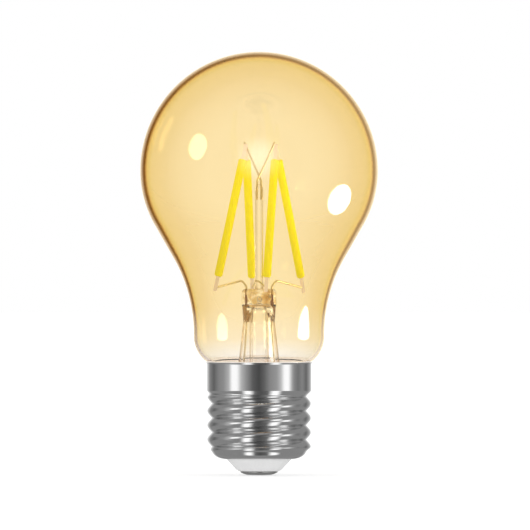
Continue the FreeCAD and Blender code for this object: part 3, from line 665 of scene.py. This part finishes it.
def clearStemGlass(name, bend, edgeTones, look):
    # drawn lead-free tubing worked in a flame: colourless, with painted shade in brownish lines along its
    # outer edges, and painted brown shade in blotches over the press, where its uneven faces bend the
    # light
    material, tree, places = newMaterial(name)
    height = addNode(tree, "ShaderNodeSeparateXYZ", {0: places["Object"]}).outputs["Z"]
    outerSkin = addNode(tree, "ShaderNodeSeparateXYZ", {0: places["UV"]}).outputs["Y"]
    graze = addNode(tree, "ShaderNodeLayerWeight", {"Blend": 0.5}).outputs["Facing"]
    edge = setRamp(addNode(tree, "ShaderNodeValToRGB", {"Fac": graze}), edgeTones)
    zone = outerSkin
    for start, end in ((look["foot"], look["foot"] + look["fadeIn"]),
                       (look["top"] + look["fadeOut"], look["top"])):
        within = addNode(tree, "ShaderNodeMapRange", {
            "Value": height, "From Min": start * mm, "From Max": end * mm})
        zone = addNode(tree, "ShaderNodeMath", {"operation": "MULTIPLY", 0: zone, 1: within})
    patch = addNode(tree, "ShaderNodeTexNoise", {
        "Vector": places["Object"], "Scale": 1 / (look["patch"] * mm), "Detail": 2.0})
    streaks = setRamp(addNode(tree, "ShaderNodeValToRGB", {"Fac": patch}), look["paintedPressShade"])
    shadedTone = addNode(tree, "ShaderNodeMix", {
        "data_type": "RGBA", "blend_type": "MULTIPLY", 0: zone, 6: edge, 7: streaks}).outputs[2]
    colour = addNode(tree, "ShaderNodeMix", {
        "data_type": "RGBA", 0: outerSkin, 6: "fffefc", 7: shadedTone}).outputs[2]
    shader = addNode(tree, "ShaderNodeBsdfPrincipled", {
        "Base Color": colour, "Roughness": 0.0, "IOR": bend, "Transmission Weight": 1.0})
    addNode(tree, "ShaderNodeOutputMaterial", {0: shader})
    return material


siliconeLook = {
    # the glow is partly painted light; the edge ramp is painted shade along the edges
    "grain": 0.5, "relief": 0.05, "bump": 0.15, "pale": "fdf600", "deep": "f6ea00", "glow": 0.27,
    "roughness": 0.6, "bend": 1.41, "gloss": 0.05, "edge": [(0.5, "ffffff"), (1.0, "edce7c")],
}


def phosphorSilicone(look):
    # cast silicone full of yellow phosphor powder: bright satin yellow, with painted shade making it a
    # little deeper along its edges. The powder is far finer than the grain drawn, which is as coarse as
    # it needs to show. The faint glow is partly the powder's own under daylight, and partly painted light
    # for the light that the glass holds back from it
    material, tree, places = newMaterial("phosphorSilicone")
    grain = addNode(tree, "ShaderNodeTexNoise", {
        "Vector": places["Object"], "Scale": 1 / (look["grain"] * mm), "Detail": 3.0})
    shade = setRamp(addNode(tree, "ShaderNodeValToRGB", {"Fac": grain}), [
        (0.3, look["deep"]), (0.7, look["pale"])])
    graze = addNode(tree, "ShaderNodeLayerWeight", {"Blend": 0.5}).outputs["Facing"]
    edge = setRamp(addNode(tree, "ShaderNodeValToRGB", {"Fac": graze}), look["edge"])
    colour = addNode(tree, "ShaderNodeMix", {
        "data_type": "RGBA", "blend_type": "MULTIPLY", 0: 1.0, 6: shade, 7: edge}).outputs[2]
    bump = addNode(tree, "ShaderNodeBump", {
        "Strength": look["bump"], "Distance": look["relief"] * mm, "Height": grain})
    shader = addNode(tree, "ShaderNodeBsdfPrincipled", {
        "Base Color": colour, "Roughness": look["roughness"], "IOR": look["bend"],
        "Specular IOR Level": look["gloss"], "Normal": bump, "Emission Color": "ffff00",
        "Emission Strength": look["glow"]})
    addNode(tree, "ShaderNodeOutputMaterial", {0: shader})
    return material


# marks in mm; real die marks are finer and wouldn't show
drawnLook = {"mark": 0.4, "smoother": 0.06, "rougher": 0.08}


def drawnMetal(name, colour, roughness, bare=1.0, glow=0.0):
    # drawn wire or rolled strip: satin metal with faint marks of the die or the rolls. bare is how
    # much clean metal shows through its oxide
    material, tree, places = newMaterial(name)
    marks = addNode(tree, "ShaderNodeTexNoise", {
        "Vector": places["Object"], "Scale": 1 / (drawnLook["mark"] * mm), "Detail": 4.0})
    dull = addNode(tree, "ShaderNodeMapRange", {
        "Value": marks, "To Min": roughness - drawnLook["smoother"],
        "To Max": roughness + drawnLook["rougher"]})
    # glow is painted light in the metal's own colour
    shader = addNode(tree, "ShaderNodeBsdfPrincipled", {
        "Base Color": colour, "Metallic": bare, "Roughness": dull,
        "Emission Color": colour, "Emission Strength": glow})
    addNode(tree, "ShaderNodeOutputMaterial", {0: shader})
    return material


# the pale glow on the shell's inner skin is painted light
nickelLook = {"plate": "dcdcdc", "innerPaintedLight": "f2ece6", "innerPaintedGlow": 0.7, "cloud": 4.0,
              "brightest": 0.07, "dullest": 0.16}


def brightNickelPlate(look):
    # bright nickel over rolled brass: a near mirror, clouded a little where it was handled. The
    # inner skin is not metal and gives off a pale painted glow, painted light that keeps the glass foot
    # light above it
    material, tree, places = newMaterial("brightNickelPlate")
    cloudy = addNode(tree, "ShaderNodeTexNoise", {
        "Vector": places["Object"], "Scale": 1 / (look["cloud"] * mm), "Detail": 3.0})
    dull = addNode(tree, "ShaderNodeMapRange", {
        "Value": cloudy, "To Min": look["brightest"], "To Max": look["dullest"]})
    plated = addNode(tree, "ShaderNodeSeparateXYZ", {0: places["UV"]}).outputs["Y"]
    innerPaintedLight = addNode(tree, "ShaderNodeMapRange", {
        "Value": plated, "To Min": look["innerPaintedGlow"], "To Max": 0.0})
    shader = addNode(tree, "ShaderNodeBsdfPrincipled", {
        "Base Color": look["plate"], "Metallic": plated, "Roughness": dull,
        "Emission Color": look["innerPaintedLight"], "Emission Strength": innerPaintedLight})
    addNode(tree, "ShaderNodeOutputMaterial", {0: shader})
    return material


# grain and relief in mm; the real grain is finer and wouldn't show
fineGrain = {"size": 0.25, "relief": 0.03, "bump": 0.12}


def fineGrained(name, light, dark, roughness, glow=0.0):
    # moulded, dipped or fired: an even satin skin with a very fine grain
    material, tree, places = newMaterial(name)
    grain = addNode(tree, "ShaderNodeTexNoise", {
        "Vector": places["Object"], "Scale": 1 / (fineGrain["size"] * mm), "Detail": 4.0})
    shade = setRamp(addNode(tree, "ShaderNodeValToRGB", {"Fac": grain}), [(0.3, dark), (0.7, light)])
    bump = addNode(tree, "ShaderNodeBump", {
        "Strength": fineGrain["bump"], "Distance": fineGrain["relief"] * mm, "Height": grain})
    # glow is painted light in the lighter tone
    shader = addNode(tree, "ShaderNodeBsdfPrincipled", {
        "Base Color": shade, "Roughness": roughness, "Normal": bump,
        "Emission Color": light, "Emission Strength": glow})
    addNode(tree, "ShaderNodeOutputMaterial", {0: shader})
    return material


windingLook = {"wire": 0.22, "relief": 0.08, "bump": 0.8, "enamel": "b8642c"}
wavesPerScale = 0.314       # a wave texture of scale 1 repeats every 0.314 m


def woundCopper(look):
    # enamelled wire wound in even turns, each turn a rounded ridge
    material, tree, places = newMaterial("enamelledCopperWinding")
    turns = addNode(tree, "ShaderNodeTexWave", {
        "wave_type": "BANDS", "bands_direction": "Y", "Vector": places["Object"],
        "Scale": wavesPerScale / (look["wire"] * mm)}).outputs["Fac"]
    bump = addNode(tree, "ShaderNodeBump", {
        "Strength": look["bump"], "Distance": look["relief"] * mm, "Height": turns})
    shader = addNode(tree, "ShaderNodeBsdfPrincipled", {
        "Base Color": look["enamel"], "Metallic": 1.0, "Roughness": 0.3, "Normal": bump})
    addNode(tree, "ShaderNodeOutputMaterial", {0: shader})
    return material


print("materials")
amberGlass = amberSodaLimeGlass(amberLook)
# the edge tones are painted shade: brownish lines along the outer edges
stemGlass = clearStemGlass("clearStemGlass", 1.5, [
    (0.0, "ffffff"), (0.45, "fdf8ef"), (0.62, "d4b17c"),
    (0.78, "9e6c30"), (1.0, "956530")], pressLook)
# the cane bends light less than real glass, which would show as a dark bar through the globe
# its edge tones are a milder painted shade along its edges
rodGlass = clearStemGlass("clearGlassCane", 1.13, [
    (0.0, "ffffff"), (0.04, "faf9f7"), (0.12, "ede7de"),
    (0.5, "e7ded0"), (0.8, "ddcbb3"), (1.0, "ddcbb3")], pressLook)
silicone = phosphorSilicone(siliconeLook)
nickelWire = drawnMetal("nickelPlatedWire", "e0cfa4", 0.36)          # warm satin grey
# strip and copper dulled by the flame; the little glow is painted light, standing in for the light that
# the glass gathers on them
tabSteel = drawnMetal("rolledTabSteel", "f4e6e0", 0.5, bare=0.3, glow=0.3)
sealCopper = drawnMetal("boratedCopper", "b07c48", 0.45, bare=0.4, glow=0.12)
nickelPlate = brightNickelPlate(nickelLook)
contactMetal = drawnMetal("pressedNickelDisc", "c4c4c2", 0.28)       # grey, a soft sheen
whitePlastic = fineGrained("mouldedInsulatorPlastic", "ececec", "e4e4e4", 0.45)     # clean satin white
# matt, with a little painted light: a glow that stands in for the light the pale cap round them throws on
# loose fibre and chalky cement
sleeveFibre = fineGrained("tanFibreSleeve", "c99a50", "b98843", 0.7, glow=0.3)
cementGrit = fineGrained("cappingCement", "f6f0ec", "eee6de", 0.9, glow=0.6)

print("glass")
globe = finishPiece(buildEnvelope(envelopeShape), amberGlass, "amber_glass", "glass_envelope")
finishPiece(buildStem(stemShape), stemGlass, "clear_glass", "glass_stem")
finishPiece(buildExhaustTube(tubeShape), stemGlass, "clear_glass", "exhaust_tube")
finishPiece(buildSupportRod(rodShape), rodGlass, "clear_glass", "support_rod")

print("wires")
tree = wireTree()
wireRoutes = {
    "anchor_wire_left": [(-3.75, 0, 84.0), (0.5, 0.3, 74.3), (0.5, 0.3, 69.5)],
    "anchor_wire_right": [(3.95, 0, 84.0), (-0.5, -0.3, 74.3), (-0.5, -0.3, 69.5)],
    "inner_lead_left": [(-10.45, -7.2, 47.5), (-4.3, 0, 49.2), (-3.2, 0, 47.7), (-3.2, 0, 45.6)],
    "inner_lead_right": [(10.8, 5.45, 47.4), (4.3, 0, 49.2), (3.2, 0, 47.7), (3.2, 0, 45.6)],
    "link_wire": [(-1.73, 8.95, 47.6), (-0.55, 1.9, 49.2), (0.5, -1.7, 48.6), (1.75, -9.4, 47.3)],
    "outer_lead_left": [(-3.2, 0, 38.6), (-3.2, 0, 37.6), (-3.9, 0, 28), (-3.9, 0, 19.8)],
    "outer_lead_right": [(3.2, 0, 38.6), (3.2, 0, 37.6), (3.9, 0, 28), (3.9, 0, 19.8)],
}
for name, route in wireRoutes.items():
    bend = wireShape["wideBend" if name.startswith(("anchor", "outer")) else "bend"]
    wire = wirePiece(name.title().replace("_", "") + "Bent", tree, wireShape, route, nickelWire, bend)
    finishPiece(wire, None, "nickel_wire", name)

print("filaments")
for number in range(4):
    label = number + 1
    coat = buildCoat(filamentShape, number)
    finishPiece(coat, silicone, "phosphor_silicone", "filament_coat_%d" % label)
    for end in ("upper", "lower"):
        tab = buildTab(filamentShape, number, end == "upper")
        finishPiece(tab, tabSteel, "tab_steel", "%s_tab_%d" % (end, label))

print("cap")
shell = buildShell(capShape, threadTree(), nickelPlate)
finishPiece(shell, nickelPlate, "nickel_shell", "screw_shell")
finishPiece(buildInsulator(insulatorShape), whitePlastic, "white_plastic", "cap_insulator")
finishPiece(buildContact(contactShape), contactMetal, "contact_metal", "centre_contact")

print("driver and radio")        # these stay the CAD's own shapes
tinSheet = drawnMetal("tinnedSteelSheet", "c9ccce", 0.3)
goldTrace = drawnMetal("goldOnCopperTrace", "d9ad52", 0.3)
greenLaminate = fineGrained("maskedGlassLaminate", "2c6b45", "24593a", 0.4)
blackEpoxy = fineGrained("blackEpoxyPackage", "26272a", "1b1c1e", 0.55)
canSleeve = fineGrained("shrunkCapacitorSleeve", "2b3140", "232836", 0.35)
ferriteGrey = fineGrained("sinteredFerrite", "4a4746", "3a3837", 0.75)
resistorCoat = fineGrained("dippedResistorCoat", "7fa0a8", "70929a", 0.45)
filmCoat = fineGrained("dippedFilmCapacitor", "a8402c", "983623", 0.35)
chipCeramic = fineGrained("firedChipCeramic", "b9a58c", "a8937a", 0.5)
stripCeramic = fineGrained("aluminaStrip", "efece4", "e2ddd2", 0.6)
diodeGel = fineGrained("diodeChipFace", "c8cfe0", "a9b2c8", 0.25)
polyesterFilm = fineGrained("polyesterInsulatingFilm", "e6e2d6", "dad5c6", 0.35)
wireJacket = fineGrained("siliconeWireJacket", "c8402f", "b63628", 0.5)
carried = {
    "capping_cement": cementGrit, "lead_sleeve": sleeveFibre, "seal_wire_left": sealCopper,
    "seal_wire_right": sealCopper, "insulating_tube": polyesterFilm, "driver_board": greenLaminate,
    "electrolytic_capacitor": canSleeve, "choke_core": ferriteGrey,
    "choke_winding": woundCopper(windingLook), "fusible_resistor": resistorCoat,
    "film_capacitor": filmCoat, "bridge_rectifier": blackEpoxy,
    "driver_chip": blackEpoxy, "chip_resistors": blackEpoxy, "chip_capacitors": chipCeramic,
    "radio_board": greenLaminate, "header_pins": goldTrace, "radio_shield": tinSheet,
    "radio_chip": blackEpoxy, "radio_crystal": tinSheet, "radio_antenna": goldTrace,
    "live_wire": wireJacket, "neutral_wire": wireJacket,
}
for label in range(1, 5):
    carried["filament_strip_%d" % label] = stripCeramic
    carried["led_chips_%d" % label] = diodeGel
for node, material in carried.items():
    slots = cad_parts[node].data.materials
    slots.clear()
    slots.append(material)


studioShape = {
    "backdrop": 1.0, "throughGlass": 1.12, "onSurfaces": 1.15, "overhead": 0.3,
    "cameraDistance": 2400.0, "lens": 645.9, "aimAcross": 1.5, "aimHeight": 53.0,
    # how far a heading lies along an axis where each of these starts and where it is whole
    "beside": (-0.45, 0.45), "grazing": (0.7, 0.8), "leaning": (0.28, 0.42),
    "upward": (0.68, 0.84), "away": (-0.12, 0.1), "rightOfGlass": "e1d4a2",
    "behindGlass": [(0.7, 0.15), (0.79, "6c4b27"), (0.825, "7c4b27"), (0.856, "9e6127"),
                    (0.891, "ad763c"), (0.924, "d3af84"), (0.973, "f9ddb6"), (0.995, "fff3e1")],
    # brightness of the cards round the table, by degrees from the camera towards the right, as
    # upright metal and as leaning metal sees them
    "cards": [(-180, 1.3), (-156, 0.72), (-140, 0.3), (-119, 0.15), (-100, 0.3), (-85, 0.36),
              (-70, 0.6), (-62, 1.35), (-50, 1.35), (-40, 0.62), (-28, 0.36), (-14, 0.14),
              (0, 0.08), (12, 0.16), (24, 0.32), (40, 0.42), (50, 0.7), (58, 1.35), (68, 1.4),
              (78, 0.5), (84, 0.32), (96, 0.22), (111, 0.31), (128, 0.17), (154, 0.5), (180, 1.3)],
    "slopingCards": [(-180, 0.7), (-150, 0.5), (-110, 0.25), (-75, 0.5), (-55, 0.3), (-40, 0.28),
                     (-29, 1.5), (-21, 1.5), (-10, 0.16), (2, 0.1), (21, 0.16), (33, 1.5),
                     (42, 1.5), (54, 0.28), (70, 0.3), (90, 0.5), (120, 0.25), (150, 0.5), (180, 0.7)],
}


def buildWorld(shape):
    # white paper all round for the eye and through the glass; a ring of cards for reflections
    world = bpy.data.worlds.new("studio")
    bpy.context.scene.world = world
    world.use_nodes = True
    tree = world.node_tree
    tree.nodes.clear()
    heading = tree.nodes.new("ShaderNodeTexCoord").outputs["Generated"]
    axes = addNode(tree, "ShaderNodeSeparateXYZ", {0: heading}).outputs
    # half the turn of a reflection is the turn of the metal that makes it, so measured this way a
    # card stays above itself on upright and on leaning metal
    ahead = addNode(tree, "ShaderNodeMath", {"operation": "SUBTRACT", 0: 1.0, 1: axes["Y"]})
    angle = addNode(tree, "ShaderNodeMath", {"operation": "ARCTAN2", 0: axes["X"], 1: ahead})
    part = addNode(tree, "ShaderNodeMapRange", {
        "Value": angle, "From Min": -math.pi / 2, "From Max": math.pi / 2})
    rings = {}
    for name in ("cards", "slopingCards"):
        stops = [((degrees + 180) / 360, level) for degrees, level in shape[name]]
        rings[name] = setRamp(addNode(tree, "ShaderNodeValToRGB", {"Fac": part}), stops)
    steep = addNode(tree, "ShaderNodeMath", {"operation": "ABSOLUTE", 0: axes["Z"]})
    spans = {}
    for name, along, easing in (("beside", axes["X"], "LINEAR"), ("grazing", axes["Y"], "LINEAR"),
                                ("leaning", steep, "SMOOTHSTEP"), ("upward", axes["Z"], "SMOOTHSTEP"),
                                ("away", axes["Y"], "SMOOTHSTEP")):
        start, whole = shape[name]
        spans[name] = addNode(tree, "ShaderNodeMapRange", {
            "interpolation_type": easing, "Value": along, "From Min": start, "From Max": whole})
    behind = setRamp(addNode(tree, "ShaderNodeValToRGB", {"Fac": axes["Y"]}), shape["behindGlass"])
    amount = addNode(tree, "ShaderNodeMath", {
        "operation": "MULTIPLY", 0: spans["beside"], 1: spans["grazing"]})
    roundGlass = addNode(tree, "ShaderNodeMix", {
        "data_type": "RGBA", "blend_type": "ADD", 0: amount, 6: behind,
        7: shape["rightOfGlass"]}).outputs[2]
    unlit = addNode(tree, "ShaderNodeMath", {
        "operation": "MAXIMUM", 0: spans["upward"], 1: spans["away"]})
    sloped = addNode(tree, "ShaderNodeMix", {
        "data_type": "RGBA", 0: unlit, 6: rings["slopingCards"], 7: tone(shape["overhead"])})
    cards = addNode(tree, "ShaderNodeMix", {
        "data_type": "RGBA", 0: spans["leaning"], 6: rings["cards"], 7: sloped.outputs[2]})
    path = tree.nodes.new("ShaderNodeLightPath").outputs
    ring = addNode(tree, "ShaderNodeMix", {
        "data_type": "RGBA", 0: path["Is Singular Ray"], 6: cards.outputs[2], 7: roundGlass})
    cameraLight = addNode(tree, "ShaderNodeMix", {
        "data_type": "FLOAT", 0: path["Is Camera Ray"], 2: shape["onSurfaces"], 3: shape["backdrop"]})
    reflected = addNode(tree, "ShaderNodeMix", {
        "data_type": "RGBA", 0: path["Is Glossy Ray"], 6: cameraLight, 7: ring.outputs[2]})
    colour = addNode(tree, "ShaderNodeMix", {
        "data_type": "RGBA", 0: path["Is Transmission Ray"], 6: reflected.outputs[2],
        7: tone(shape["throughGlass"])})
    light = addNode(tree, "ShaderNodeBackground", {"Color": colour.outputs[2], "Strength": 1.0})
    addNode(tree, "ShaderNodeOutputWorld", {0: light})


floorShape = {"half": 8000.0, "gap": 0.05, "paper": "bcbcbc", "glow": 0.54}


def buildFloor(shape):
    # matt white paper, a hair below the lamp; the glow keeps it as pale as the paper behind
    material, tree = newMaterial("palePaperFloor")[:2]
    paper = addNode(tree, "ShaderNodeBsdfPrincipled", {
        "Base Color": shape["paper"], "Roughness": 1.0, "Specular IOR Level": 0.0,
        "Emission Color": "ffffff", "Emission Strength": shape["glow"]})
    addNode(tree, "ShaderNodeOutputMaterial", {0: paper})
    half = shape["half"] * mm
    corners = [(-half, -half, 0), (half, -half, 0), (half, half, 0), (-half, half, 0)]
    floor = meshPiece("paperFloor", corners, [(0, 1, 2, 3)], smooth=False)
    floor.data.materials.append(material)
    floor.location.z = -shape["gap"] * mm
    floor.visible_glossy = False


def softBox(name, place, target, width, height, radiance, lit, soft=False):
    # an oval soft box that only lights the pieces in lit; soft fades it out towards its edge
    lamp = bpy.data.lights.new(name, "AREA")
    lamp.shape = "ELLIPSE"
    lamp.size, lamp.size_y = width * mm, height * mm
    area = math.pi / 4 * lamp.size * lamp.size_y
    lamp.energy = radiance * area * math.pi      # watts that give the box this radiance
    if soft:
        lamp.use_nodes = True
        tree = lamp.node_tree
        across = tree.nodes.new("ShaderNodeNewGeometry").outputs["Parametric"]
        away = addNode(tree, "ShaderNodeVectorMath", {
            "operation": "DISTANCE", 0: across, 1: (0.5, 0.5, 0.0)}).outputs["Value"]
        fade = addNode(tree, "ShaderNodeMapRange", {
            "interpolation_type": "SMOOTHERSTEP", "Value": away, "From Min": 0.5, "From Max": 0.0})
        tree.links.new(fade.outputs[0], tree.nodes["Emission"].inputs["Strength"])
    box = bpy.data.objects.new(name, lamp)
    box.location = Vector(place) * mm
    box.rotation_euler = (Vector(target) - Vector(place)).to_track_quat("-Z", "Y").to_euler()
    box.visible_camera = False
    box.visible_transmission = not soft
    bpy.context.scene.collection.objects.link(box)
    receivers = bpy.data.collections.new(name + "Lights")
    for piece in lit:
        receivers.objects.link(piece)
    box.light_linking.receiver_collection = receivers


def buildCamera(shape):
    data = bpy.data.cameras.new("camera")
    data.lens = shape["lens"]
    data.clip_end = 60              # metres
    camera = bpy.data.objects.new("camera", data)
    camera.location = Vector((shape["aimAcross"], -shape["cameraDistance"], shape["aimHeight"])) * mm
    camera.rotation_euler = (math.pi / 2, 0, 0)
    bpy.context.scene.collection.objects.link(camera)
    bpy.context.scene.camera = camera


print("studio")
buildWorld(studioShape)
buildFloor(floorShape)
softBox("sideBox", (85.5, -16, 42), (0, -16, 42), width=42, height=40, radiance=11, lit=[globe])
softBox("frontBox", (0, -90, 92), (0, -30, 80), width=80, height=80, radiance=5.0, lit=[globe], soft=True)
buildCamera(studioShape)
bpy.context.scene.view_settings.view_transform = "Standard"
# a sight line through globe, stem and tube crosses twelve skins of glass, and more in the press
bpy.context.scene.cycles.max_bounces = 40
bpy.context.scene.cycles.transmission_bounces = 40
